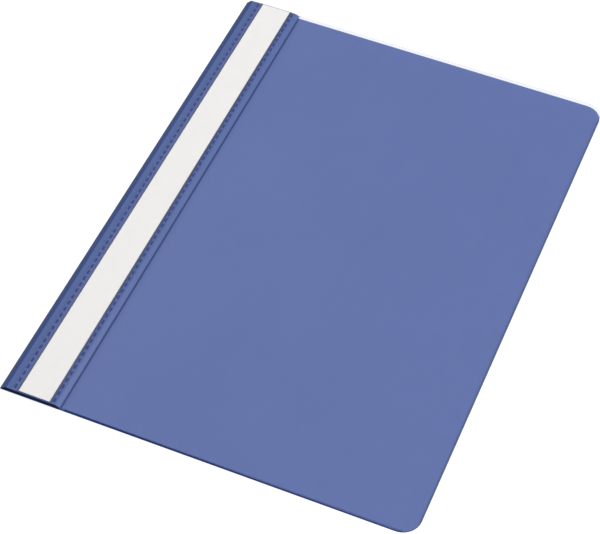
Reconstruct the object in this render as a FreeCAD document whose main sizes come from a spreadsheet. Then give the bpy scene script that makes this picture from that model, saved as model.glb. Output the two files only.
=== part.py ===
import FreeCAD, Part
import os
import re
import Sketcher

# A4 flat file of polypropylene film, lying closed on its back cover.
# One blue film makes the back cover, the spine fold and the narrow front margin. One clear film is
# welded on top of the margin, holds the title label, and carries on as the front cover. Inside, a
# binding flap holds a two-prong paper fastener of tinplate with a compressor bar and two locks.
#
# Frame: X runs from the spine to the open edge, Y along the spine, Z up from the desk.
# The origin is under the middle of the closed file. Outlines count x from the spine's outer edge.

# Driving sizes in millimetres. Each name is its cell's alias.
SIZES = [
    ("width", 220, "spine to open edge"),
    ("length", 310, "along the spine"),
    ("corner", 10, "corner radius at the open edge"),
    ("film", 0.3, "blue film"),
    ("clear_film", 0.2, "clear film of pocket and cover"),
    ("flap_film", 0.2, "blue film of the binding flap"),
    ("steel", 0.3, "tinplate of prongs, bar and locks"),
    ("fold_edge", 0.6, "where the flat back cover ends and the fold begins"),
    ("fold_run", 3.3, "where the fold ends and the flat margin begins"),
    ("fold_blunt", 0.15, "small bevel along the fold's outer edge"),
    ("margin_air", 0.6, "closed front margin above the compressor bar"),
    ("slope_run", 2.7, "strip of the margin that slopes down to its free edge"),
    ("slope_drop", 1.0, "fall of that strip"),
    ("crease_width", 0.8, "clear film that bends when the cover opens"),
    ("cover_fall", 0.7, "fall of the closed front cover to the open edge"),
    ("label_start", 10.7, "spine side of the title label"),
    ("label_width", 17, "title label across"),
    ("label_inset", 0.5, "title label short of each end of the margin"),
    ("label_card", 0.2, "card thickness"),
    ("label_play", 0.05, "air under and over the card"),
    ("label_room", 0.3, "air at each side of the card"),
    ("inner_ramp", 1.0, "step of a welded film, at the spine side of the label and on the flap"),
    ("outer_ramp", 0.5, "steeper step at the crease side of the label"),
    ("inner_clear", 0.75, "flat film each side of the inner weld row"),
    ("outer_clear", 0.6, "flat film each side of the outer weld row"),
    ("weld_pitch", 4.48, "weld to weld along a row"),
    ("weld_dash", 2.5, "length of one weld"),
    ("weld_across", 1.1, "width of one weld"),
    ("weld_height", 0.05, "fused film between the two layers"),
    ("fastener_x", 19, "middle line of the paper fastener"),
    ("hole_spacing", 80, "prong to prong"),
    ("prong_width", 5.5, "across one prong"),
    ("prong_reach", 30, "fold line to tip"),
    ("prong_round", 2.5, "corner radius of a prong's tip"),
    ("prong_gap", 0.05, "running clearance under and over a folded prong"),
    ("prong_air", 0.75, "clearance beside a prong, between the rolled edges"),
    ("slot_room", 0.4, "clearance all round a prong in its slots"),
    ("flap_width", 25, "binding flap across"),
    ("flap_inset", 10, "binding flap short of each end of the cover"),
    ("flap_weld_inset", 1.5, "middle of a flap's weld row from the flap's edge"),
    ("bar_overhang", 12, "compressor bar past each prong"),
    ("bar_height", 1.4, "top of the bar's rolled edges above its underside"),
    ("bar_round", 4.5, "corner radius of the bar's ends"),
    ("lip", 1.2, "edge rolled in over the channel"),
    ("rail_inset", 5, "rolled edges short of the bar's ends"),
    ("lock_park", 1, "parked lock off the middle of the bar"),
    ("lock_gap", 0.1, "clearance between a lock and the channel"),
    ("tip_clear", 1, "parked lock short of the prong's tip"),
    ("bead_height", 0.25, "raised grip on a lock"),
    ("bead_length", 1.2, "one grip along the bar"),
    ("bead_width", 6, "one grip across the bar"),
]

# Sizes, places and heights that follow from those, as expressions on them.
FLAP_LOW = "film + weld_height"
FLAP_HIGH = "film + steel"
BAR_LOW = f"{FLAP_HIGH} + flap_film"
BAR_FLOOR = f"{BAR_LOW} + steel"
BAR_TOP = f"{BAR_LOW} + bar_height"
LIP_LOW = f"{BAR_TOP} - steel"
PRONG_LOW = f"{BAR_FLOOR} + prong_gap"
PRONG_TOP = f"{PRONG_LOW} + steel"
LOCK_LOW = f"{PRONG_TOP} + prong_gap"
LOCK_TOP = f"{LIP_LOW} - lock_gap"
MARGIN_LOW = f"{BAR_TOP} + margin_air"
MARGIN_TOP = f"{MARGIN_LOW} + film"
POCKET_LOW = f"{MARGIN_TOP} + weld_height"
POCKET_HIGH = f"{MARGIN_TOP} + label_card + 2 * label_play"
CREASE_LOW = f"{POCKET_LOW} - slope_drop"

CARD_END = "label_start + label_width"
INNER_FOOT = "label_start - label_room - inner_ramp"
INNER_WELD = f"{INNER_FOOT} - inner_clear - weld_across / 2"
POCKET_START = f"{INNER_WELD} - weld_across / 2 - inner_clear"
OUTER_FOOT = f"{CARD_END} + label_room + outer_ramp"
OUTER_WELD = f"{OUTER_FOOT} + outer_clear + weld_across / 2"
SHOULDER = f"{OUTER_WELD} + weld_across / 2 + outer_clear"
MARGIN_EDGE = f"{SHOULDER} + slope_run"
COVER_START = f"{MARGIN_EDGE} + crease_width"

HALF_BAR = "(prong_width / 2 + prong_air + lip + steel)"
HALF_LOCK = f"({HALF_BAR} - steel - lock_gap)"
BAR_LENGTH = "(hole_spacing + 2 * bar_overhang)"
LOCK_LENGTH = "(hole_spacing / 2 - prong_reach - tip_clear - lock_park)"
FLAP_RUN = "(length - 2 * flap_inset)"
UPPER, LOWER = "", "-"
BEADS = 3
TOUCH = 1e-6

doc = FreeCAD.newDocument("FlatFile")
sheet = doc.addObject("Spreadsheet::Sheet", "Sizes")
for row, (alias, size, note) in enumerate(SIZES, start=1):
    sheet.set(f"A{row}", alias)
    sheet.set(f"B{row}", str(size))
    sheet.set(f"C{row}", note)
    sheet.setAlias(f"B{row}", alias)
doc.recompute()


def cells(text):
    """Point the size names in an expression at the sheet. A word before a bracket is a function."""
    return re.sub(r"\b[a-z_]+\b(?!\()", lambda word: f"Sizes.{word.group(0)}", text)


def value(text):
    """Work out an expression's present value."""
    return float(sheet.evalExpression(cells(text)))


def bind(item, name, text):
    """Tie a property, constraint or placement of an object to the sheet."""
    item.setExpression(name, cells(text))


def new_body(label, line="0"):
    """Start a sub-part whose own x counts from a line that lies this far from the spine."""
    body = doc.addObject("PartDesign::Body", label)
    body.Label = label
    bind(body, "Placement.Base.x", f"{line} - width / 2")
    return body


def origin_feature(body, role):
    """Find one of a body's own origin planes or axes."""
    return next(item for item in body.Origin.OriginFeatures if item.Role == role)


def outline(body, name, plane, corners, height="0"):
    """Draw a closed outline whose corners are pairs of expressions, on one of the body's planes."""
    sketch = body.newObject("Sketcher::SketchObject", name)
    sketch.AttachmentSupport = [(origin_feature(body, plane), "")]
    sketch.MapMode = "FlatFace"
    bind(sketch, "AttachmentOffset.Base.z", height)
    points = [FreeCAD.Vector(value(across), value(up), 0) for across, up in corners]
    for start, end in zip(points, points[1:] + points[:1]):
        sketch.addGeometry(Part.LineSegment(start, end))
    for index, (across, up) in enumerate(corners):
        following = (index + 1) % len(corners)
        sketch.addConstraint(Sketcher.Constraint("Coincident", index, 2, following, 1))
        for direction, text in (("DistanceX", across), ("DistanceY", up)):
            number = sketch.addConstraint(Sketcher.Constraint(direction, index, 1, value(text)))
            bind(sketch, f"Constraints[{number}]", text)
    return sketch


def rectangle(x_low, x_high, y_low, y_high):
    """Give the four corners of a rectangle."""
    return [(x_low, y_low), (x_high, y_low), (x_high, y_high), (x_low, y_high)]


def film_section(lower_line, thickness):
    """Close a film's lower line, given from the spine outwards, into a section of even thickness."""
    upper_line = [(across, f"{up} + {thickness}") for across, up in reversed(lower_line)]
    return lower_line + upper_line


def pad(body, name, sketch, depth, middle=False):
    """Thicken an outline, upwards or to both sides of its plane."""
    feature = body.newObject("PartDesign::Pad", name)
    feature.Profile = sketch
    feature.SideType = "Symmetric" if middle else "One side"
    bind(feature, "Length", depth)
    doc.recompute()
    return feature


def flat_pad(body, name, corners, low, thickness):
    """Add an outline seen from above, thickened upwards."""
    return pad(body, name, outline(body, name + "_outline", "XY_Plane", corners, low), thickness)


def long_pad(body, name, section, run):
    """Add a cross-section of the file, run out evenly along the spine."""
    return pad(body, name, outline(body, name + "_section", "XZ_Plane", section), run, middle=True)


def side_pad(body, name, profile, across):
    """Add an outline seen from the open edge, thickened to both sides of the body's own line."""
    return pad(body, name, outline(body, name + "_profile", "YZ_Plane", profile), across, middle=True)


def round_corners(body, name, feature, wanted, radius):
    """Round the vertical edges of a feature whose x and y pass a test."""
    names = []
    for number, edge in enumerate(feature.Shape.Edges, start=1):
        box = edge.BoundBox
        if box.XLength + box.YLength < TOUCH and wanted(box.Center):
            names.append(f"Edge{number}")
    fillet = body.newObject("PartDesign::Fillet", name)
    fillet.Base = (feature, names)
    bind(fillet, "Radius", radius)
    doc.recompute()


def round_open_edge(body, feature):
    """Round the two corners of a cover that are furthest from the spine."""
    reach = feature.Shape.BoundBox.XMax
    round_corners(body, body.Label + "_corners", feature, lambda place: place.x > reach - TOUCH, "corner")


def cut_slots(body, low, depth):
    """Cut the two prong slots through a flat strip, from its underside up."""
    half_width = "(prong_width / 2 + slot_room)"
    half_gap = "(steel / 2 + slot_room)"
    for side, sign in (("upper", UPPER), ("lower", LOWER)):
        name = f"{body.Label}_{side}"
        corners = rectangle(f"fastener_x - {half_width}", f"fastener_x + {half_width}",
                            f"{sign}hole_spacing / 2 - {half_gap}", f"{sign}hole_spacing / 2 + {half_gap}")
        pocket = body.newObject("PartDesign::Pocket", name + "_cut")
        pocket.Profile = outline(body, name + "_slot", "XY_Plane", corners, low)
        pocket.Reversed = True
        bind(pocket, "Length", depth)
        doc.recompute()


def make_weld_row(label, middle, low, run):
    """Make a row of short welds along the spine: separate solids, evenly spaced about its middle."""
    body = new_body(label)
    body.AllowCompound = True
    count = f"floor({run} / weld_pitch)"
    first = f"-({count} - 1) * weld_pitch / 2"
    corners = rectangle(f"{middle} - weld_across / 2", f"{middle} + weld_across / 2",
                        f"{first} - weld_dash / 2", f"{first} + weld_dash / 2")
    dash = flat_pad(body, label + "_dash", corners, low, "weld_height")
    pattern = body.newObject("PartDesign::LinearPattern", label + "_pattern")
    pattern.Originals = [dash]
    pattern.Direction = (origin_feature(body, "Y_Axis"), [""])
    pattern.Mode = "Spacing"
    bind(pattern, "Offset", "weld_pitch")
    bind(pattern, "Occurrences", count)
    body.Tip = pattern
    return body


def make_blue_film():
    """Back cover, spine fold and front margin: one creased film, in nodes that meet end to end."""
    back = new_body("back_cover")
    sides = rectangle("fold_edge", "width", "-length / 2", "length / 2")
    round_open_edge(back, flat_pad(back, "back_film", sides, "0", "film"))
    fold = new_body("spine_fold")
    long_pad(fold, "fold_film", [("fold_edge", "0"), ("fold_edge", "film"), ("fold_run", MARGIN_LOW),
                                 ("fold_run", MARGIN_TOP), ("0", "fold_blunt"), ("fold_blunt", "0")],
             "length")
    margin = new_body("front_margin")
    line = [("fold_run", MARGIN_LOW), (SHOULDER, MARGIN_LOW), (MARGIN_EDGE, f"{MARGIN_LOW} - slope_drop")]
    long_pad(margin, "margin_film", film_section(line, "film"), "length")
    return [back, fold, margin]


def make_clear_film():
    """Label pocket, crease and front cover: one clear film, welded down beside the label."""
    pocket = new_body("label_pocket")
    line = [(POCKET_START, POCKET_LOW), (INNER_FOOT, POCKET_LOW),
            (f"{INNER_FOOT} + inner_ramp", POCKET_HIGH), (f"{OUTER_FOOT} - outer_ramp", POCKET_HIGH),
            (OUTER_FOOT, POCKET_LOW), (SHOULDER, POCKET_LOW), (MARGIN_EDGE, CREASE_LOW)]
    long_pad(pocket, "pocket_film", film_section(line, "clear_film"), "length")
    crease = new_body("cover_crease")
    line = [(MARGIN_EDGE, CREASE_LOW), (COVER_START, CREASE_LOW)]
    long_pad(crease, "crease_film", film_section(line, "clear_film"), "length")
    cover = new_body("front_cover")
    line = [(COVER_START, CREASE_LOW), ("width", f"{CREASE_LOW} - cover_fall")]
    round_open_edge(cover, long_pad(cover, "cover_film", film_section(line, "clear_film"), "length"))
    return [pocket, crease, cover,
            make_weld_row("inner_pocket_weld", INNER_WELD, MARGIN_TOP, "length"),
            make_weld_row("outer_pocket_weld", OUTER_WELD, MARGIN_TOP, "length")]


def make_label():
    """Title label: a card strip that slides out of the pocket's end."""
    label = new_body("title_label")
    corners = rectangle("label_start", CARD_END, "label_inset - length / 2", "length / 2 - label_inset")
    flat_pad(label, "card", corners, f"{MARGIN_TOP} + label_play", "label_card")
    return [label]


def make_binding_flap():
    """Binding flap: a film strip welded to the back cover, stepped up over the prongs' base strip."""
    flap = new_body("binding_flap")
    start, end = "fastener_x - flap_width / 2", "fastener_x + flap_width / 2"
    line = [(start, FLAP_LOW), (f"fastener_x - {HALF_BAR} - 2 * inner_ramp", FLAP_LOW),
            (f"fastener_x - {HALF_BAR} - inner_ramp", FLAP_HIGH),
            (f"fastener_x + {HALF_BAR} + inner_ramp", FLAP_HIGH),
            (f"fastener_x + {HALF_BAR} + 2 * inner_ramp", FLAP_LOW), (end, FLAP_LOW)]
    long_pad(flap, "flap_strip", film_section(line, "flap_film"), FLAP_RUN)
    cut_slots(flap, FLAP_HIGH, "flap_film")
    return [flap, make_weld_row("inner_flap_weld", f"{start} + flap_weld_inset", "film", FLAP_RUN),
            make_weld_row("outer_flap_weld", f"{end} - flap_weld_inset", "film", FLAP_RUN)]


def make_prong_base():
    """Base strip under the flap, with a stub at each end that stands up through flap and bar."""
    base = new_body("prong_base", "fastener_x")
    end, root = "(hole_spacing / 2 + steel / 2)", "(hole_spacing / 2 - steel / 2)"
    side_pad(base, "base_strip", [(f"-{end}", "film"), (end, "film"), (end, BAR_FLOOR), (root, BAR_FLOOR),
                                  (root, FLAP_HIGH), (f"-{root}", FLAP_HIGH), (f"-{root}", BAR_FLOOR),
                                  (f"-{end}", BAR_FLOOR)], "prong_width")
    return base


def make_prong(label, side):
    """One prong, folded in flat along the bar from the fold line over its stub, with a round tip."""
    prong = new_body(label, "fastener_x")
    outwards, inwards = ("+", "-") if side == UPPER else ("-", "+")
    fold = f"{side}hole_spacing / 2"
    tip = f"{fold} {inwards} prong_reach"
    nose = f"{fold} {outwards} steel / 4"
    profile = [(tip, PRONG_LOW), (fold, PRONG_LOW), (nose, f"{PRONG_LOW} + steel / 4"),
               (nose, f"{PRONG_TOP} - steel / 4"), (fold, PRONG_TOP), (tip, PRONG_TOP)]
    tongue = side_pad(prong, label + "_tongue", profile, "prong_width")
    tip_y = value(tip)
    round_corners(prong, label + "_tip", tongue, lambda place: abs(place.y - tip_y) < TOUCH, "prong_round")
    return prong


def make_bar():
    """Compressor bar: a stamped strip with round ends, its edges rolled up and in to a channel."""
    bar = new_body("compressor_bar")
    spine_side, open_side = f"fastener_x - {HALF_BAR}", f"fastener_x + {HALF_BAR}"
    corners = rectangle(spine_side, open_side, f"-{BAR_LENGTH} / 2", f"{BAR_LENGTH} / 2")
    floor = flat_pad(bar, "bar_floor", corners, BAR_LOW, "steel")
    round_corners(bar, "bar_ends", floor, lambda place: True, "bar_round")
    for name, wall, inwards in (("spine_rail", spine_side, "+"), ("open_rail", open_side, "-")):
        inside, edge = f"{wall} {inwards} steel", f"{wall} {inwards} steel {inwards} lip"
        long_pad(bar, name, [(wall, BAR_LOW), (inside, BAR_LOW), (inside, LIP_LOW), (edge, LIP_LOW),
                             (edge, BAR_TOP), (wall, BAR_TOP)], f"{BAR_LENGTH} - 2 * rail_inset")
    cut_slots(bar, BAR_LOW, "steel")
    return bar


def make_lock(label, side):
    """One sliding lock: a plate held under the bar's rolled edges, with grip beads on top."""
    lock = new_body(label)
    near, far = f"{side}lock_park", f"{side}(lock_park + {LOCK_LENGTH})"
    low_y, high_y = (near, far) if side == UPPER else (far, near)
    corners = rectangle(f"fastener_x - {HALF_LOCK}", f"fastener_x + {HALF_LOCK}", low_y, high_y)
    flat_pad(lock, label + "_plate", corners, LOCK_LOW, f"{LOCK_TOP} - ({LOCK_LOW})")
    for number in range(1, BEADS + 1):
        middle = f"{side}(lock_park + {LOCK_LENGTH} * {number} / {BEADS + 1})"
        corners = rectangle("fastener_x - bead_width / 2", "fastener_x + bead_width / 2",
                            f"{middle} - bead_length / 2", f"{middle} + bead_length / 2")
        flat_pad(lock, f"{label}_bead_{number}", corners, LOCK_TOP, "bead_height")
    return lock


subparts = make_blue_film() + make_clear_film() + make_label() + make_binding_flap()
subparts += [make_prong_base(), make_prong("prong_upper", UPPER), make_prong("prong_lower", LOWER),
             make_bar(), make_lock("lock_upper", UPPER), make_lock("lock_lower", LOWER)]
doc.recompute()

for item in doc.Objects:
    if {"Invalid", "Error"} & set(item.State):
        raise RuntimeError(f"{item.Label} failed: {item.State}")
for body in subparts:
    if body.Shape.isNull() or not body.Shape.isValid():
        raise RuntimeError(f"{body.Label} has no valid shape")

os.makedirs("parts", exist_ok=True)
for body in subparts:
    shape = body.Shape
    shape.exportStep(f"parts/{body.Label}.step")
    print(f"{body.Label}: {len(shape.Solids)} solids, {shape.Volume:.1f} mm3, {shape.BoundBox}")
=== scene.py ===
"""Looks of an A4 flat file: blue film, clear film, title card and tinplate paper fastener."""

import logging
import math
from collections.abc import Callable
from dataclasses import dataclass
from enum import Enum, IntEnum

import bpy
from mathutils import Euler, Matrix, Vector


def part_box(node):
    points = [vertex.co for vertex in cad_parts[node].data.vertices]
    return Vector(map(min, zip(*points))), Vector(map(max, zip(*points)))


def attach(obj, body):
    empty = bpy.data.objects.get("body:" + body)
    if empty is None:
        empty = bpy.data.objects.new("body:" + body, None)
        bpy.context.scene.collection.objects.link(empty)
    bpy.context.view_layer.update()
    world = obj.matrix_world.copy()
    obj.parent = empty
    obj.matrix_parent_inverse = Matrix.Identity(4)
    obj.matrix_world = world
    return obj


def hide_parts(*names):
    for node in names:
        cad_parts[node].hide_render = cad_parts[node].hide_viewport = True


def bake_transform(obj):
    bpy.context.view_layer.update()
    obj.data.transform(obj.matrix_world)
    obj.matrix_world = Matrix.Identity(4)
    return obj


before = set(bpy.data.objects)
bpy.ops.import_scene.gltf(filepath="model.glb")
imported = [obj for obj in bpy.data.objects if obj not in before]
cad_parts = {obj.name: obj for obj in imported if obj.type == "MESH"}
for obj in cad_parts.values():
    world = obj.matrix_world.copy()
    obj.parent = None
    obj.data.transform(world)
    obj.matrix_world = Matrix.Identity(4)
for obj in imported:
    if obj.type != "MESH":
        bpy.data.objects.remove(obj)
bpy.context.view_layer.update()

LOG = logging.getLogger("flat_file")
MM = 0.001

Point = tuple[float, float]
Warp = Callable[[float, float], float]
Paint = Callable[[Vector, Vector], int]

# The margin and the clear film on it slope down over this width, beside the crease.
SLOPE_RUN = 2.7 * MM
# Turns, in degrees, at which a rounded corner of a cover has points.
CORNER_TURNS = range(0, 81, 10)
# A face is a cut edge where less than this share of its normal points up or down.
EDGE_LEAN = 0.3
# A face is at one of a film's two ends where more than this share of its normal points along the spine.
END_LEAN = 0.7
# Room for rounding when a place is compared with the edge of a weld.
HAIR = 0.001 * MM


class Body(Enum):
    """The moving bodies of the file that pieces ride on."""

    BACK = "back"
    MARGIN = "margin"
    LABEL = "label"
    COVER = "cover"


class Slot(Enum):
    """Names of the record's material slots for the pieces made here."""

    BLUE_FILM = "blue_film"
    CLEAR_FILM = "clear_film"
    POCKET_WELD = "pocket_weld"
    LABEL_CARD = "label_card"
    FLAP_WELD = "flap_weld"


class BlueTone(IntEnum):
    """Places of the blue film's finishes in its list."""

    PLAIN = 0
    FOLDED = 1
    CUT = 2
    TRIMMED = 3


class ClearTone(IntEnum):
    """Places of the clear film's finishes in its list."""

    COVER = 0
    POCKET = 1
    FUSED = 2
    CUT = 3
    STEPPED = 4
    STEEP = 5
    CREASED = 6


# Colours and nodes -------------------------------------------------------------------------------


def linear(hex_colour: str) -> tuple[float, float, float, float]:
    """Turn an sRGB hex colour into the linear colour that shaders take.

    Args:
        hex_colour: Six hex digits after a hash sign.

    Returns:
        Red, green, blue and an alpha of 1.
    """
    channels = [int(hex_colour[place:place + 2], 16) / 255 for place in (1, 3, 5)]
    curved = [c / 12.92 if c <= 0.04045 else ((c + 0.055) / 1.055) ** 2.4 for c in channels]
    return curved[0], curved[1], curved[2], 1.0


def add_node(tree: bpy.types.NodeTree, kind: str, settings: dict[str, object] | None = None,
             inputs: dict[str | int, object] | None = None) -> bpy.types.Node:
    """Add one node, set its properties, and set or link its inputs.

    Args:
        tree: The node tree to add to.
        kind: The node's class name.
        settings: Property names and values.
        inputs: Input names or numbers, each with a value or an output socket to link.

    Returns:
        The new node.
    """
    node = tree.nodes.new(kind)
    for name, setting in (settings or {}).items():
        setattr(node, name, setting)
    for name, source in (inputs or {}).items():
        if isinstance(source, bpy.types.NodeSocket):
            tree.links.new(source, node.inputs[name])
        else:
            node.inputs[name].default_value = source
    return node


def per_metre(size_mm: float) -> float:
    """Give the noise scale at which one blotch or grain is about this many millimetres across."""
    return 1.0 / (size_mm * MM)


@dataclass(frozen=True)
class Finish:
    """What every finish has: a name, its colour, and the constants of its surface.

    Attributes:
        name: What the material is.
        colour: Its main colour as sRGB hex.
        dark: The colour that its unevenness drifts towards.
        roughness: Typical roughness of the made surface.
        ior: Refractive index.
        metallic: 1 for bare metal, else 0.
        specular: Strength of the reflection, 0.5 for a clean surface and less for a scuffed one.
    """

    name: str
    colour: str
    dark: str
    roughness: float
    ior: float = 1.5
    metallic: float = 0.0
    specular: float = 0.5

    def start(self) -> tuple[bpy.types.Material, bpy.types.NodeTree, bpy.types.Node]:
        """Make the material with its shader's constants set.

        Returns:
            The material, its node tree and its Principled shader.
        """
        material = bpy.data.materials.new(self.name)
        material.use_nodes = True
        tree = material.node_tree
        shader = tree.nodes["Principled BSDF"]
        shader.inputs["IOR"].default_value = self.ior
        shader.inputs["Metallic"].default_value = self.metallic
        shader.inputs["Roughness"].default_value = self.roughness
        shader.inputs["Specular IOR Level"].default_value = self.specular
        return material, tree, shader

    def mottle(self, tree: bpy.types.NodeTree, size_mm: float, detail: float = 3.0,
               stretch: tuple[float, float, float] = (1.0, 1.0, 1.0)) -> bpy.types.NodeSocket:
        """Add a noise pattern whose blotches have a real size.

        Args:
            tree: The material's nodes.
            size_mm: Size of a blotch.
            detail: Octaves of finer noise.
            stretch: How much the pattern is squeezed along each axis.

        Returns:
            The noise value.
        """
        place = add_node(tree, "ShaderNodeTexCoord").outputs["Object"]
        squeezed = add_node(tree, "ShaderNodeMapping", inputs={"Vector": place, "Scale": stretch})
        noise = add_node(tree, "ShaderNodeTexNoise",
                         inputs={"Vector": squeezed.outputs[0], "Scale": per_metre(size_mm),
                                 "Detail": detail})
        return noise.outputs[0]

    def tint(self, tree: bpy.types.NodeTree, value: bpy.types.NodeSocket, low: float,
             high: float) -> bpy.types.NodeSocket:
        """Blend from the dark colour to the main one as a value rises.

        Args:
            tree: The material's nodes.
            value: The pattern.
            low: Pattern value that is still dark.
            high: Pattern value that is fully the main colour.

        Returns:
            The colour.
        """
        ramp = add_node(tree, "ShaderNodeValToRGB", inputs={"Fac": value})
        ramp.color_ramp.elements[0].position, ramp.color_ramp.elements[1].position = low, high
        ramp.color_ramp.elements[0].color = linear(self.dark)
        ramp.color_ramp.elements[1].color = linear(self.colour)
        return ramp.outputs["Color"]

    def spread(self, tree: bpy.types.NodeTree, value: bpy.types.NodeSocket, low: float,
               high: float) -> bpy.types.NodeSocket:
        """Map a 0 to 1 pattern onto a range, such as a range of roughness."""
        mapped = add_node(tree, "ShaderNodeMapRange",
                          inputs={"Value": value, "To Min": low, "To Max": high})
        return mapped.outputs[0]

    def relief(self, tree: bpy.types.NodeTree, value: bpy.types.NodeSocket, depth_mm: float,
               strength: float = 1.0) -> bpy.types.NodeSocket:
        """Turn a pattern into surface relief of a real depth."""
        bump = add_node(tree, "ShaderNodeBump",
                        inputs={"Height": value, "Distance": depth_mm * MM, "Strength": strength})
        return bump.outputs[0]


@dataclass(frozen=True)
class PolypropyleneFilm(Finish):
    """Extruded polypropylene film, embossed by a sand-textured chill roll.

    The roll gives an even satin sheen with fine pips, and the pigment drifts a little over the sheet.

    Attributes:
        pip_mm: Size of one pip. The real ones are near 0.2 mm, and are drawn coarser to show.
        pip_depth_mm: Height of a pip.
        drift_mm: Size of the slow drift in pigment.
        unevenness: How far the roughness goes up and down.
    """

    pip_mm: float = 0.5
    pip_depth_mm: float = 0.004
    drift_mm: float = 60.0
    unevenness: float = 0.06

    def build(self) -> bpy.types.Material:
        """Make the material."""
        material, tree, shader = self.start()
        tree.links.new(self.tint(tree, self.mottle(tree, self.drift_mm), 0.3, 0.6),
                       shader.inputs["Base Color"])
        pips = self.mottle(tree, self.pip_mm, detail=1.0)
        tree.links.new(self.spread(tree, pips, self.roughness - self.unevenness,
                                   self.roughness + self.unevenness), shader.inputs["Roughness"])
        tree.links.new(self.relief(tree, pips, self.pip_depth_mm), shader.inputs["Normal"])
        return material


@dataclass(frozen=True)
class ClearFilm(Finish):
    """Clear cast polypropylene film, a little milky because the plastic crystallises as it cools.

    Each face passes most of the light and adds a thin bluish haze. The chill roll leaves faint flow
    lines along the sheet.

    Attributes:
        cover: Share of what lies behind it that each face hides.
        flow_mm: Width of one flow line.
        flow_depth_mm: Depth of a flow line.
        haze_mm: Size of a cloud in the haze.
        haze_change: Share by which the haze thickens and thins.
        unevenness: How far the roughness goes up and down.
    """

    cover: float = 0.15
    flow_mm: float = 4.0
    flow_depth_mm: float = 0.002
    haze_mm: float = 9.0
    haze_change: float = 0.05
    unevenness: float = 0.05

    def build(self) -> bpy.types.Material:
        """Make the material."""
        material, tree, shader = self.start()
        flow = self.mottle(tree, self.flow_mm, stretch=(1.0, 0.05, 1.0))
        tree.links.new(self.tint(tree, flow, 0.2, 0.5), shader.inputs["Base Color"])
        haze = self.mottle(tree, self.haze_mm, detail=2.0)
        tree.links.new(self.spread(tree, haze, self.cover * (1 - self.haze_change),
                                   self.cover * (1 + self.haze_change)), shader.inputs["Alpha"])
        tree.links.new(self.spread(tree, haze, self.roughness - self.unevenness,
                                   self.roughness + self.unevenness), shader.inputs["Roughness"])
        tree.links.new(self.relief(tree, flow, self.flow_depth_mm), shader.inputs["Normal"])
        return material


@dataclass(frozen=True)
class Card(Finish):
    """Uncoated bleached card: matt, with short fibres pressed flat and a faint cloudiness.

    Attributes:
        fibre_mm: Width of a fibre bundle, drawn a few times coarser than real ones so that it shows.
        fibre_depth_mm: Height of a fibre bundle.
        cloud_mm: Size of the cloudiness in the pulp.
        unevenness: How far the roughness goes up and down.
    """

    fibre_mm: float = 0.25
    fibre_depth_mm: float = 0.02
    cloud_mm: float = 5.0
    unevenness: float = 0.05

    def build(self) -> bpy.types.Material:
        """Make the material."""
        material, tree, shader = self.start()
        tree.links.new(self.tint(tree, self.mottle(tree, self.cloud_mm, detail=5.0), 0.25, 0.6),
                       shader.inputs["Base Color"])
        fibres = self.mottle(tree, self.fibre_mm, detail=3.0, stretch=(1.0, 0.3, 1.0))
        tree.links.new(self.spread(tree, fibres, self.roughness - self.unevenness,
                                   self.roughness + self.unevenness), shader.inputs["Roughness"])
        tree.links.new(self.relief(tree, fibres, self.fibre_depth_mm, 0.5), shader.inputs["Normal"])
        return material


@dataclass(frozen=True)
class Tinplate(Finish):
    """Cold-rolled steel strip with a bright tin coat: fine rolling lines along it, soft reflections.

    Attributes:
        line_mm: Width of one rolling line.
        line_depth_mm: Depth of a rolling line.
        spangle_mm: Size of one patch in the tin coat.
        smoother: How far the roughness falls between rolling lines.
        rougher: How far it rises on them.
    """

    line_mm: float = 0.12
    line_depth_mm: float = 0.003
    spangle_mm: float = 3.0
    smoother: float = 0.08
    rougher: float = 0.1

    def build(self) -> bpy.types.Material:
        """Make the material."""
        material, tree, shader = self.start()
        shader.inputs["Anisotropic"].default_value = 0.4
        lines = self.mottle(tree, self.line_mm, stretch=(1.0, 0.02, 1.0))
        tree.links.new(self.tint(tree, self.mottle(tree, self.spangle_mm, detail=4.0), 0.3, 0.7),
                       shader.inputs["Base Color"])
        tree.links.new(self.spread(tree, lines, self.roughness - self.smoother,
                                   self.roughness + self.rougher), shader.inputs["Roughness"])
        tree.links.new(self.relief(tree, lines, self.line_depth_mm, 0.6), shader.inputs["Normal"])
        return material


@dataclass(frozen=True)
class LightTable(Finish):
    """Opal acrylic table, lit from below so that it stays white right up to the object.

    Attributes:
        glow: Strength of the light that comes through it.
        cloud_mm: Size of the cloudiness in the acrylic.
    """

    glow: float = 0.86
    cloud_mm: float = 40.0

    def build(self) -> bpy.types.Material:
        """Make the material."""
        material, tree, shader = self.start()
        tree.links.new(self.tint(tree, self.mottle(tree, self.cloud_mm), 0.3, 0.6),
                       shader.inputs["Base Color"])
        shader.inputs["Emission Color"].default_value = linear("#FFFFFF")
        shader.inputs["Emission Strength"].default_value = self.glow
        return material


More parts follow.
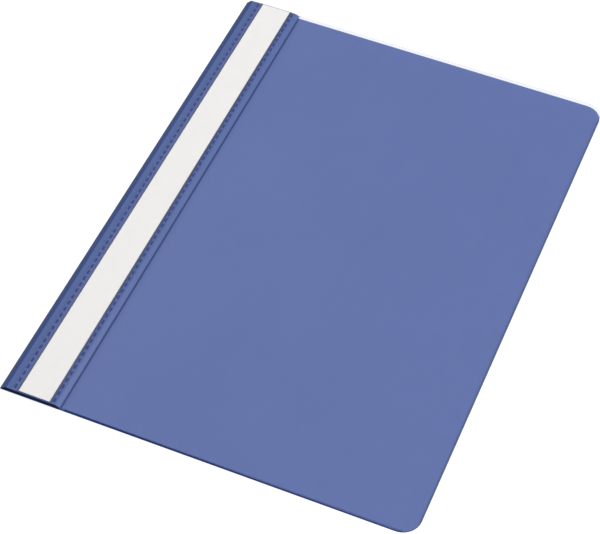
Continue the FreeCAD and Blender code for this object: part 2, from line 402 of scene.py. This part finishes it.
class Palette:
    """The finishes of the file, each built once."""

    def __init__(self) -> None:
        """Build every material."""
        self.blue_film = PolypropyleneFilm("blue polypropylene film", "#465A90", "#44588D", 0.45,
                                           ior=1.49).build()
        # Painted shade: a darker, duller copy of the blue film on the spine fold, where the slope turns
        # away from the light.
        self.fold_shade_film = PolypropyleneFilm("blue polypropylene with painted fold shade", "#384D83", "#344A7E", 0.6,
                                             ior=1.49, specular=0.12).build()
        # Painted shade: a darker copy of the blue film on its cut edges, for the dark lines that shade
        # gives along them.
        self.blue_cut_edge_shade = PolypropyleneFilm("blue film with painted shade on its cut edges", "#3A5080", "#374C7A", 0.55, ior=1.49,
                                          specular=0.2, pip_mm=0.3).build()
        # Painted shade: a dark copy of the blue film along the back cover's low end, for the shade in the
        # gap under the clear cover.
        self.low_end_shade_film = PolypropyleneFilm("blue film with painted shade along the low end", "#1C3068",
                                              "#1A2D62", 0.55, ior=1.49, specular=0.2).build()
        self.clear_film = ClearFilm("clear polypropylene film", "#8E9FE0", "#8C9DDE", 0.3, ior=1.49).build()
        self.pocket_film = ClearFilm("clear pocket film", "#8E9FE0", "#8C9DDE", 0.3, ior=1.49,
                                     cover=0.03).build()
        # Painted shade: darker, more opaque copies of the clear film beside both edges of the label and
        # along the crease.
        self.step_up_shade_film = ClearFilm("clear film with painted shade at the step up to the label", "#6B7595", "#687291", 0.4,
                                      ior=1.49, cover=0.3).build()
        self.step_down_shade_film = ClearFilm("clear film stepped down steeply", "#4A5578", "#475274", 0.4,
                                    ior=1.49, cover=0.3).build()
        # Painted shade along the crease.
        self.crease_shade_film = ClearFilm("clear polypropylene with painted crease shade", "#304C8C", "#2D4987", 0.4,
                                      ior=1.49, cover=0.26).build()
        # Painted shade: a darker, more opaque copy of the clear film on its cut edges and along its open
        # edge.
        self.clear_edge_shade_film = ClearFilm("clear film with painted shade at its cut edge and open edge", "#4F6080", "#4C5D7C", 0.45, ior=1.49,
                                   cover=0.55).build()
        # Two films fused under a ribbed weld wheel: no air is left between them, so they look deeper.
        self.fused_film = PolypropyleneFilm("fused polypropylene weld", "#2A3D78", "#293D7A", 0.5,
                                            ior=1.49, specular=0.3, pip_mm=0.3).build()
        self.card = Card("bleached label card", "#EDEAE4", "#EBE8E2", 0.85).build()
        self.tinplate = Tinplate("rolled tinplate", "#B9BBBA", "#A6A8A7", 0.34, metallic=1.0).build()
        self.table = LightTable("opal light table", "#8A8A8A", "#888888", 0.95, specular=0.0).build()


# Lines and sheets --------------------------------------------------------------------------------


def rounded_line(corners: list[Point], radii: list[float], steps: int,
                 side_share: float = 0.45) -> list[Point]:
    """Round the inner corners of an open line with arcs.

    Args:
        corners: The line's corners, its two ends included.
        radii: One radius for each corner between the ends.
        steps: Pieces in one arc.
        side_share: Most of a side that an arc may take up. A large arc on a short side is cut down to it.

    Returns:
        The rounded line.
    """
    line = [corners[0]]
    for before, corner, after, radius in zip(corners, corners[1:], corners[2:], radii):
        here = Vector(corner)
        back, ahead = (Vector(before) - here), (Vector(after) - here)
        half = back.angle(ahead) / 2
        cut = min(radius / math.tan(half), back.length * side_share, ahead.length * side_share)
        start, end = here + back.normalized() * cut, here + ahead.normalized() * cut
        for step in range(steps + 1):
            share = step / steps
            # A quadratic curve whose handle is the corner stays within a hair of the arc.
            point = start * (1 - share) ** 2 + here * 2 * share * (1 - share) + end * share ** 2
            line.append((point.x, point.y))
    line.append(corners[-1])
    return line


def divided_line(line: list[Point], longest: float) -> list[Point]:
    """Split the long pieces of a line so that none is longer than a given length.

    Args:
        line: The line.
        longest: Longest piece allowed.

    Returns:
        The line with more points.
    """
    points = [line[0]]
    for start, end in zip(line, line[1:]):
        count = max(1, math.ceil(math.dist(start, end) / longest))
        points += [(start[0] + (end[0] - start[0]) * n / count, start[1] + (end[1] - start[1]) * n / count)
                   for n in range(1, count + 1)]
    return points


def split_at(line: list[Point], place: float, near: float) -> list[Point]:
    """Add a point to a line where it passes an x, on the pass that ends nearest to a z.

    Args:
        line: The line, which may double back over itself.
        place: The x of the new point.
        near: The z that picks one of the passes.

    Returns:
        The line with the new point in order.
    """
    passes = [n for n, (start, end) in enumerate(zip(line, line[1:]))
              if min(start[0], end[0]) < place < max(start[0], end[0])]
    if not passes:
        return line
    number = min(passes, key=lambda n: abs(line[n + 1][1] - near))
    start, end = line[number], line[number + 1]
    share = (place - start[0]) / (end[0] - start[0])
    point = (place, start[1] + (end[1] - start[1]) * share)
    return line[:number + 1] + [point] + line[number + 1:]


def side_steps(line: list[Point]) -> list[Vector]:
    """Give the unit step square to a line at each of its points, towards its left.

    Args:
        line: The line, as x and z.

    Returns:
        One step for each point, in the plane of the line.
    """
    steps = []
    for number in range(len(line)):
        before, after = Vector(line[max(number - 1, 0)]), Vector(line[min(number + 1, len(line) - 1)])
        along = (after - before).normalized()
        steps.append(Vector((-along.y, along.x)))
    return steps


@dataclass
class FilmSheet:
    """A sheet of film or card: a line seen along the spine, run out along Y, with real thickness.

    Attributes:
        name: The piece's name.
        line: The middle of the film, as x and z in metres.
        thickness: The film's thickness.
        rows: Places along Y where the sheet has a row of points.
        open_edge: Where the rounded corners end in X, if the sheet has them.
        corner: Radius of those corners.
        warp: How far the whole film is lifted at an x and y.
        press: How far the upper face alone is pressed down at an x and y.
    """

    name: str
    line: list[Point]
    thickness: float
    rows: list[float]
    open_edge: float | None = None
    corner: float = 0.0
    warp: Warp | None = None
    press: Warp | None = None

    def end_shift(self, x: float) -> float:
        """Give how far the sheet's ends draw in at this x, in its rounded corners."""
        if self.open_edge is None:
            return 0.0
        into = x - (self.open_edge - self.corner)
        if into <= 0:
            return 0.0
        return self.corner - math.sqrt(max(self.corner ** 2 - min(into, self.corner) ** 2, 0.0))

    def point(self, x: float, z: float, y: float, upper: bool) -> Vector:
        """Place one point of the sheet, with its corner, warp and pressing worked in."""
        half_run = self.rows[-1]
        y_here = y * (half_run - self.end_shift(x)) / half_run
        lift = self.warp(x, y_here) if self.warp else 0.0
        if upper and self.press:
            lift -= self.press(x, y_here)
        return Vector((x, y_here, z + lift))

    def build(self, materials: list[bpy.types.Material],
              paint: Paint | None = None) -> bpy.types.Object:
        """Make the mesh as one closed skin.

        Args:
            materials: Its materials.
            paint: Gives the number of the material for a face's middle and its normal.

        Returns:
            The new object.
        """
        sides = side_steps(self.line)
        half = self.thickness / 2
        upper = [(x + side.x * half, z + side.y * half) for (x, z), side in zip(self.line, sides)]
        lower = [(x - side.x * half, z - side.y * half) for (x, z), side in zip(self.line, sides)]
        ring = [(place, True) for place in upper] + [(place, False) for place in reversed(lower)]
        around = len(ring)
        points = [self.point(x, z, y, is_upper) for y in self.rows for (x, z), is_upper in ring]
        faces: list[tuple[int, ...]] = []
        for row in range(len(self.rows) - 1):
            first = row * around
            faces += [(first + n, first + (n + 1) % around, first + around + (n + 1) % around,
                       first + around + n) for n in range(around)]
        last = (len(self.rows) - 1) * around
        for n in range(len(self.line) - 1):
            near, far = (n, around - 1 - n), (n + 1, around - 2 - n)
            faces.append((near[0], near[1], far[1], far[0]))
            faces.append((last + near[1], last + near[0], last + far[0], last + far[1]))
        return new_mesh(self.name, points, faces, materials, paint)


def new_mesh(name: str, points: list[Vector], faces: list[tuple[int, ...]],
             materials: list[bpy.types.Material], paint: Paint | None = None,
             smooth_below: float = 35.0) -> bpy.types.Object:
    """Make a mesh object, dress it, and shade it smooth except at its sharp edges.

    Args:
        name: The piece's name.
        points: Its points.
        faces: Its faces.
        materials: Its materials.
        paint: Gives the number of the material for a face's middle and its normal.
        smooth_below: Edges that turn by more than this many degrees stay sharp.

    Returns:
        The new object.
    """
    mesh = bpy.data.meshes.new(name)
    mesh.from_pydata(points, [], faces)
    for material in materials:
        mesh.materials.append(material)
    if paint:
        for face in mesh.polygons:
            face.material_index = int(paint(face.center, face.normal))
    mesh.shade_smooth()
    mesh.set_sharp_from_angle(angle=math.radians(smooth_below))
    mesh.validate()
    piece = bpy.data.objects.new(name, mesh)
    bpy.context.scene.collection.objects.link(piece)
    return piece


def even_rows(half_run: float, longest: float) -> list[float]:
    """Give evenly spaced places from one end of a run to the other, centred on zero."""
    count = max(2, math.ceil(2 * half_run / longest))
    return [half_run * (2 * n / count - 1) for n in range(count + 1)]


# The file's pieces -------------------------------------------------------------------------------


@dataclass
class WeldRow:
    """One row of ribbed welds: short pads that a heated wheel presses every few millimetres.

    Attributes:
        node: The CAD node that the row stands for.
        pitch: Weld to weld.
        dash: Length of one weld.
        across: Width of one weld.
        ribs: Fine ribs that the wheel leaves across each weld.
        sunk: How far the ribs' crests lie under the top of the weld.
        rib_depth: How far the hollows between the ribs lie under it.
        through: Thickness of the film above that is fused right through, so that its ribs show on top.
    """

    node: str
    pitch: float = 4.48 * MM
    dash: float = 2.5 * MM
    across: float = 1.1 * MM
    ribs: int = 5
    sunk: float = 0.002 * MM
    rib_depth: float = 0.03 * MM
    through: float = 0.0

    def __post_init__(self) -> None:
        """Read the row's place from the frame."""
        low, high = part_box(self.node)
        self.middle = (low[0] + high[0]) / 2
        self.low, self.high = low[2], high[2]
        count = round((high[1] - low[1] - self.dash) / self.pitch) + 1
        self.centres = [self.pitch * (n - (count - 1) / 2) for n in range(count)]

    def rows(self, skirt: float) -> list[float]:
        """Give the places along Y where a film over the row needs points."""
        half = self.dash / 2
        steps = (-half - skirt, -half, half, half + skirt)
        return [centre + step for centre in self.centres for step in steps]

    def holds(self, x: float, y: float, room: float = 0.0) -> bool:
        """Tell whether a place lies over one of the welds."""
        if abs(x - self.middle) > self.across / 2 + room:
            return False
        number = round((y - self.centres[0]) / self.pitch)
        nearest = self.centres[min(max(number, 0), len(self.centres) - 1)]
        return abs(y - nearest) <= self.dash / 2 + room

    def build(self, material: bpy.types.Material, body: Body, slot: Slot) -> bpy.types.Object:
        """Make the pads, each with ribs across its top, and let them ride on a body.

        Args:
            material: The fused film.
            body: The body that the row moves with.
            slot: The record's slot. Not used.

        Returns:
            The row as one object.
        """
        points: list[Vector] = []
        faces: list[tuple[int, ...]] = []
        top_face = self.high + self.through
        crest, hollow = top_face - self.sunk, top_face - self.rib_depth
        stations = 2 * self.ribs + 1
        for centre in self.centres:
            first = len(points)
            for n in range(stations):
                y = centre + self.dash * (n / (stations - 1) - 0.5)
                top = crest if n % 2 else hollow
                for x, z in ((-1, self.low), (-1, top), (1, top), (1, self.low)):
                    points.append(Vector((self.middle + x * self.across / 2, y, z)))
            for n in range(stations - 1):
                here = first + 4 * n
                faces += [(here + k, here + (k + 1) % 4, here + 4 + (k + 1) % 4, here + 4 + k)
                          for k in range(4)]
            end = first + 4 * (stations - 1)
            faces += [(first + 3, first + 2, first + 1, first), (end, end + 1, end + 2, end + 3)]
        piece = new_mesh(self.node + "_pads", points, faces, [material], smooth_below=10.0)
        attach(piece, body.value)
        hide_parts(self.node)
        return piece


@dataclass
class BlueFilm:
    """Back cover, spine fold and front margin, creased from one sheet of blue film.

    Attributes:
        fold_radius: Radius of the film's middle at the spine.
        inset: How far the soft fold pulls in from its straight outer line.
        knee_inset: How far the knee, where the fold meets the flat margin, lies inside the fold's width.
        knee_radius: Rounding of the knee.
        shoulder_radius: Rounding where the margin starts to slope down.
        corner: Radius of the back cover's two corners.
        bend_row: Where the rising film has one more row of points to bend at as the file opens, from the
            fold's outer line.
        creased: Width of the fold's painted shade, from its outer line.
        low_end_band: Width of the painted shade along the back cover's end at the low end of the spine.
        longest: Longest side of a face on the flat parts.
    """

    fold_radius: float = 0.2 * MM
    inset: float = 0.35 * MM
    knee_inset: float = 0.3 * MM
    knee_radius: float = 1.6 * MM
    shoulder_radius: float = 4.0 * MM
    corner: float = 10.0 * MM
    bend_row: float = 2.0 * MM
    creased: float = 4.1 * MM
    low_end_band: float = 1.5 * MM
    longest: float = 12.0 * MM

    def build(self, palette: Palette) -> bpy.types.Object:
        """Make the sheet and bend it across the spine hinge.

        Args:
            palette: The file's finishes.

        Returns:
            The blue film.
        """
        back_low, back_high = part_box("back_cover")
        fold_low, fold_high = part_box("spine_fold")
        margin_low, margin_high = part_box("front_margin")
        film = back_high[2] - back_low[2]
        back_z, margin_z = back_low[2] + film / 2, margin_high[2] - film / 2
        edge_z = margin_low[2] + film / 2
        slope = math.atan2(margin_z - back_z, fold_high[0] - fold_low[0] - self.inset)
        arc_reach = self.fold_radius / math.tan(slope / 2)
        spine_x = fold_low[0] + self.inset + self.fold_radius + film / 2 - arc_reach
        shoulder_x = margin_high[0] - SLOPE_RUN
        corners = [(back_high[0], back_z), (spine_x, back_z), (fold_high[0] - self.knee_inset, margin_z),
                   (shoulder_x, margin_z), (margin_high[0], edge_z)]
        line = rounded_line(corners, [self.fold_radius, self.knee_radius, self.shoulder_radius], steps=8)
        arc = [(back_high[0] - self.corner * (1 - math.sin(math.radians(angle))), back_z)
               for angle in reversed(CORNER_TURNS)]
        line = [line[0]] + arc + line[1:]
        half_run, crease_end = back_high[1], fold_low[0] + self.creased
        for place in (fold_low[0] + self.bend_row, crease_end):
            line = split_at(line, place, margin_z)
        rows = sorted(even_rows(half_run, self.longest) + [self.low_end_band - half_run])
        sheet = FilmSheet("blue_film_sheet", divided_line(line, self.longest), film, rows,
                          open_edge=back_high[0], corner=self.corner)

        def paint(place: Vector, normal: Vector) -> int:
            """Choose plain film, or painted shade on the fold, on a cut edge or along the low end."""
            # Painted shade on the cut edges.
            if abs(normal.y) > END_LEAN or (place.x > fold_high[0] and abs(normal.z) < EDGE_LEAN):
                return BlueTone.CUT
            # Painted shade on the fold's rising film.
            if place.x < crease_end and place.z > film:
                return BlueTone.FOLDED
            # Painted shade along the back cover's low end.
            if place.x > margin_high[0] and place.y < self.low_end_band - half_run:
                return BlueTone.TRIMMED
            return BlueTone.PLAIN

        finishes = {BlueTone.PLAIN: palette.blue_film, BlueTone.FOLDED: palette.fold_shade_film,
                    BlueTone.CUT: palette.blue_cut_edge_shade, BlueTone.TRIMMED: palette.low_end_shade_film}
        piece = sheet.build([finishes[tone] for tone in BlueTone], paint)
        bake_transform(piece)
        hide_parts("back_cover", "spine_fold", "front_margin")
        return piece


@dataclass
class ClearSheet:
    """Label pocket, crease and front cover: one clear film, welded to the margin beside the label.

    Attributes:
        inner_ramp: Width of the step up to the label, on the spine side.
        outer_ramp: Width of the step down from it.
        label_room: Flat film past each side of the label.
        bend: Radius of the film's bends round the label and at the foot of the slope.
        shoulder_radius: Rounding where the film starts to slope down with the margin.
        cover_bend: Rounding where the crease meets the cover.
        corner: Radius of the cover's two corners.
        groove: Depth of the pressed crease.
        groove_width: Width of the pressed crease.
        groove_bend: Rounding of the crease's three lines.
        press_depth: How far a weld presses the film's upper face.
        skirt: Width of the slope round a pressed weld.
        lift_near: Lift of the cover's free corner at the low end of the spine.
        lift_far: Lift of its free corner at the high end.
        wave: Height of the slow waves that handling leaves in the cover.
        waves_out: Half waves from the crease to the open edge.
        waves_along: Half waves from one end of the cover to the other.
        wave_start: Where in a wave the low end lies, in radians.
        rim: Width of the painted shade along the cover's open edge.
        shade_reach: How far the painted shade of the step up reaches out from the label's spine side.
        shade_lap: How far it reaches over the label.
        shade_gap: How far from the label's other side the painted shade of the step down starts.
        crease_room: How far the crease's painted shade reaches into the cover.
        longest: Longest side of a face on the cover.
    """

    inner_ramp: float = 1.0 * MM
    outer_ramp: float = 0.5 * MM
    label_room: float = 0.3 * MM
    bend: float = 0.4 * MM
    shoulder_radius: float = 2.0 * MM
    cover_bend: float = 0.5 * MM
    corner: float = 10.0 * MM
    groove: float = 0.12 * MM
    groove_width: float = 0.5 * MM
    groove_bend: float = 0.1 * MM
    press_depth: float = 0.09 * MM
    skirt: float = 0.12 * MM
    lift_near: float = -0.4 * MM
    lift_far: float = 0.9 * MM
    wave: float = 0.12 * MM
    waves_out: float = 3.1
    waves_along: float = 2.3
    wave_start: float = 0.6
    rim: float = 0.62 * MM
    shade_reach: float = 1.1 * MM
    shade_lap: float = 0.18 * MM
    shade_gap: float = 0.05 * MM
    crease_room: float = 0.35 * MM
    longest: float = 12.0 * MM

    def __post_init__(self) -> None:
        """Read the cover's place from the frame."""
        self.cover_low, self.cover_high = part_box("front_cover")

    def cover_warp(self, x: float, y: float) -> float:
        """Give the lift of the cover at a place: slow waves, and a twist that lifts its high corner."""
        low, high = self.cover_low, self.cover_high
        if x <= low[0]:
            return 0.0
        out = (x - low[0]) / (high[0] - low[0])
        along = (y - low[1]) / (high[1] - low[1])
        twist = self.lift_near + (self.lift_far - self.lift_near) * along
        across_waves = math.sin(out * self.waves_out * math.pi)
        along_waves = math.sin(along * self.waves_along * math.pi + self.wave_start)
        return out * (twist + self.wave * across_waves * along_waves)

    def build(self, palette: Palette, welds: list[WeldRow]) -> bpy.types.Object:
        """Make the sheet and bend it across the crease.

        Args:
            palette: The file's finishes.
            welds: The two weld rows beside the label.

        Returns:
            The clear film.
        """
        pocket_low, pocket_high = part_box("label_pocket")
        cover_low, cover_high = self.cover_low, self.cover_high
        crease_low, crease_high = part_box("cover_crease")
        label_low, label_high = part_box("title_label")
        film = crease_high[2] - crease_low[2]
        weld_z, flat_z = welds[0].high + film / 2, pocket_high[2] - film / 2
        crease_z = (crease_low[2] + crease_high[2]) / 2
        crease_x = (crease_low[0] + crease_high[0]) / 2
        open_z = cover_low[2] + film / 2
        knee, far_knee = label_low[0] - self.label_room, label_high[0] + self.label_room
        foot = knee - self.inner_ramp
        line = rounded_line(
            [(pocket_low[0], weld_z), (foot, weld_z), (knee, flat_z), (far_knee, flat_z),
             (far_knee + self.outer_ramp, weld_z), (crease_low[0] - SLOPE_RUN, weld_z),
             (crease_low[0], crease_z), (crease_x - self.groove_width / 2, crease_z),
             (crease_x, crease_z - self.groove), (crease_x + self.groove_width / 2, crease_z),
             (crease_high[0], crease_z), (cover_high[0], open_z)],
            [self.bend] * 4 + [self.shoulder_radius, self.bend] + [self.groove_bend] * 3
            + [self.cover_bend], steps=4)
        columns = [weld.middle + side * (weld.across / 2 + step)
                   for weld in welds for side in (-1, 1) for step in (0.0, self.skirt)]
        step_up = (label_low[0] - self.shade_reach, label_low[0] + self.shade_lap)
        step_down = (label_high[0] + self.shade_gap,
                     welds[1].middle - welds[1].across / 2 - self.skirt)
        crease_end = crease_high[0] + self.crease_room
        for place in [*columns, crease_end, *step_up, *step_down]:
            line = split_at(line, place, weld_z)
        slope = (open_z - crease_z) / (cover_high[0] - crease_high[0])
        arc = [cover_high[0] - self.corner * (1 - math.sin(math.radians(angle))) for angle in CORNER_TURNS]
        line = line[:-1] + [(x, crease_z + slope * (x - crease_high[0])) for x in arc] + line[-1:]
        ends = [cover_low[1], cover_high[1]]
        rows = sorted(set(ends + [y for y in welds[0].rows(self.skirt) if ends[0] < y < ends[1]]))
        # Bands of painted shade beside the label and along the crease.
        bands = {ClearTone.STEPPED: step_up, ClearTone.STEEP: step_down,
                 ClearTone.CREASED: (crease_low[0], crease_end)}

        def press(x: float, y: float) -> float:
            """Press the upper face down over a weld."""
            return self.press_depth if any(weld.holds(x, y, HAIR) for weld in welds) else 0.0

        def paint(place: Vector, normal: Vector) -> int:
            """Choose cover, pocket or fused film, or painted shade at a cut edge, beside the label or along
            the crease.
            """
            # Painted shade on the cut edges and along the open edge.
            if abs(normal.z) < EDGE_LEAN or place.x > cover_high[0] - self.rim:
                return ClearTone.CUT
            if any(weld.holds(place.x, place.y) for weld in welds):
                return ClearTone.FUSED
            for tone, (low, high) in bands.items():
                if low < place.x < high:
                    return tone
            return ClearTone.POCKET if place.x < crease_low[0] else ClearTone.COVER

        sheet = FilmSheet("clear_film_sheet", divided_line(line, self.longest), film, rows,
                          open_edge=cover_high[0], corner=self.corner, warp=self.cover_warp, press=press)
        finishes = {ClearTone.COVER: palette.clear_film, ClearTone.POCKET: palette.pocket_film,
                    ClearTone.FUSED: palette.fused_film, ClearTone.CUT: palette.clear_edge_shade_film,
                    ClearTone.STEPPED: palette.step_up_shade_film, ClearTone.STEEP: palette.step_down_shade_film,
                    ClearTone.CREASED: palette.crease_shade_film}
        piece = sheet.build([finishes[tone] for tone in ClearTone], paint)
        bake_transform(piece)
        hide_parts("label_pocket", "cover_crease", "front_cover")
        return piece


@dataclass
class TitleLabel:
    """The card strip in the pocket: a little bowed, so that it touches the film in places.

    Attributes:
        bow: Height of its slow bow.
        bow_length: Length of one wave of the bow.
        longest: Longest side of a face.
    """

    bow: float = 0.03 * MM
    bow_length: float = 95.0 * MM
    longest: float = 6.0 * MM

    def build(self, palette: Palette) -> bpy.types.Object:
        """Make the card and let it ride in the pocket."""
        low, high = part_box("title_label")
        middle = (low[2] + high[2]) / 2
        line = divided_line([(low[0], middle), (high[0], middle)], self.longest)
        sheet = FilmSheet("title_card", line, high[2] - low[2], even_rows(high[1], self.longest),
                          warp=lambda x, y: self.bow * math.sin(2 * math.pi * y / self.bow_length))
        piece = sheet.build([palette.card])
        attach(piece, Body.LABEL.value)
        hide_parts("title_label")
        return piece


@dataclass
class PaperFastener:
    """Flap and its welds, base strip, prongs, compressor bar and locks.

    The welds are made again with their ribs. The CAD shapes of the others stay and get finishes.

    Attributes:
        film_nodes: Nodes of blue film.
        metal_nodes: Nodes of tinplate.
        weld_nodes: Weld rows of the flap.
        fused_depth: Flap film that each weld fuses, with the rib that stands proud of it.
    """

    film_nodes: tuple[str, ...] = ("binding_flap",)
    metal_nodes: tuple[str, ...] = ("prong_base", "prong_upper", "prong_lower", "compressor_bar",
                                    "lock_upper", "lock_lower")
    weld_nodes: tuple[str, ...] = ("inner_flap_weld", "outer_flap_weld")
    fused_depth: float = 0.24 * MM

    def dress(self, node: str, material: bpy.types.Material) -> bpy.types.Object:
        """Give a CAD node a finish."""
        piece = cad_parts[node]
        piece.data.materials.clear()
        piece.data.materials.append(material)
        return piece

    def build(self, palette: Palette) -> list[bpy.types.Object]:
        """Dress every node of the fastener.

        Args:
            palette: The file's finishes.

        Returns:
            The pieces.
        """
        pieces = [self.dress(node, palette.blue_film) for node in self.film_nodes]
        pieces += [self.dress(node, palette.tinplate) for node in self.metal_nodes]
        pieces += [WeldRow(node, through=self.fused_depth).build(palette.fused_film, Body.BACK,
                                                                 Slot.FLAP_WELD)
                   for node in self.weld_nodes]
        return pieces


# The studio --------------------------------------------------------------------------------------


@dataclass
class Studio:
    """A pale table, soft light from all round, a large soft box on the right, and the camera.

    Attributes:
        turn: Degrees that the camera looks to the left of the spine's direction.
        elevation: Degrees that the camera looks down.
        distance: Camera to target.
        target: What the camera looks at, on the table.
        roll: Degrees that the camera is tipped.
        lens: Focal length in millimetres.
        sensor: Width of the sensor in millimetres.
        sight: Nearest and farthest that the camera sees, in metres.
        sky: Strength of the light from all round.
        box_power: Power of the soft box in watts.
        box_size: Its width.
        box_place: Where it hangs.
        fill_power: Power of the small fill light on the left.
        fill_size: Its width.
        fill_place: Where it hangs.
        floor_size: Side of the table.
        floor_drop: How far the table's top lies under the file, so that the two don't share a plane.
    """

    turn: float = 20.26
    elevation: float = 49.62
    distance: float = 1.0509
    target: tuple[float, float, float] = (-0.0034, -0.0215, 0.0)
    roll: float = 2.73
    lens: float = 120.06
    sensor: float = 36.0
    sight: tuple[float, float] = (0.05, 20.0)
    sky: float = 0.33
    box_power: float = 148.0
    box_size: float = 1.9
    box_place: tuple[float, float, float] = (2.1, 0.7, 3.3)
    fill_power: float = 8.0
    fill_size: float = 1.2
    fill_place: tuple[float, float, float] = (-1.4, 1.3, 1.6)
    floor_size: float = 6.0
    floor_drop: float = 0.03 * MM

    def build(self, palette: Palette) -> None:
        """Make the floor, the lights and the camera."""
        self.make_floor(palette)
        self.make_lights()
        self.make_camera()

    def make_floor(self, palette: Palette) -> None:
        """Lay the floor just under the file."""
        half = self.floor_size / 2
        corners = [Vector((x * half, y * half, -self.floor_drop))
                   for x, y in ((-1, -1), (1, -1), (1, 1), (-1, 1))]
        new_mesh("floor", corners, [(0, 1, 2, 3)], [palette.table])

    def make_lights(self) -> None:
        """Light the scene softly from everywhere, and more from the soft box."""
        world = bpy.data.worlds.new("studio sky")
        world.use_nodes = True
        background = world.node_tree.nodes["Background"]
        background.inputs["Color"].default_value = linear("#FFFFFF")
        background.inputs["Strength"].default_value = self.sky
        bpy.context.scene.world = world
        self.hang("soft box", self.box_power, self.box_size, self.box_place)
        self.hang("fill", self.fill_power, self.fill_size, self.fill_place)

    def hang(self, name: str, power: float, size: float, place: tuple[float, float, float]) -> None:
        """Hang a square light that faces the origin.

        Args:
            name: Its name.
            power: Its power in watts.
            size: Its width.
            place: Where it hangs.
        """
        light = bpy.data.lights.new(name, "AREA")
        light.energy, light.size = power, size
        lamp = bpy.data.objects.new(name, light)
        lamp.location = place
        lamp.rotation_mode = "QUATERNION"
        lamp.rotation_quaternion = (-lamp.location).to_track_quat("-Z", "Y")
        bpy.context.scene.collection.objects.link(lamp)

    def make_camera(self) -> None:
        """Place the camera by its turn, elevation, distance and roll about the target."""
        camera = bpy.data.objects.new("camera", bpy.data.cameras.new("camera"))
        camera.data.lens, camera.data.sensor_width = self.lens, self.sensor
        camera.data.clip_start, camera.data.clip_end = self.sight
        facing = Euler((math.radians(90 - self.elevation), 0, math.radians(self.turn)), "XYZ").to_matrix()
        facing = facing @ Matrix.Rotation(math.radians(self.roll), 3, "Z")
        camera.rotation_euler = facing.to_euler("XYZ")
        camera.location = Vector(self.target) + facing @ Vector((0, 0, self.distance))
        bpy.context.scene.collection.objects.link(camera)
        bpy.context.scene.camera = camera


def main() -> None:
    """Build the studio and then each sub-assembly in turn."""
    logging.basicConfig(level=logging.INFO, format="%(name)s: %(message)s")
    bpy.context.scene.view_settings.view_transform = "Standard"
    palette = Palette()
    Studio().build(palette)
    pocket_welds = [WeldRow("inner_pocket_weld"), WeldRow("outer_pocket_weld")]
    pieces = [BlueFilm().build(palette), ClearSheet().build(palette, pocket_welds),
              TitleLabel().build(palette)]
    pieces += [weld.build(palette.fused_film, Body.MARGIN, Slot.POCKET_WELD) for weld in pocket_welds]
    pieces += PaperFastener().build(palette)
    for piece in pieces:
        LOG.info("%s: %d faces", piece.name, len(piece.data.polygons))


if __name__ == "__main__":
    main()
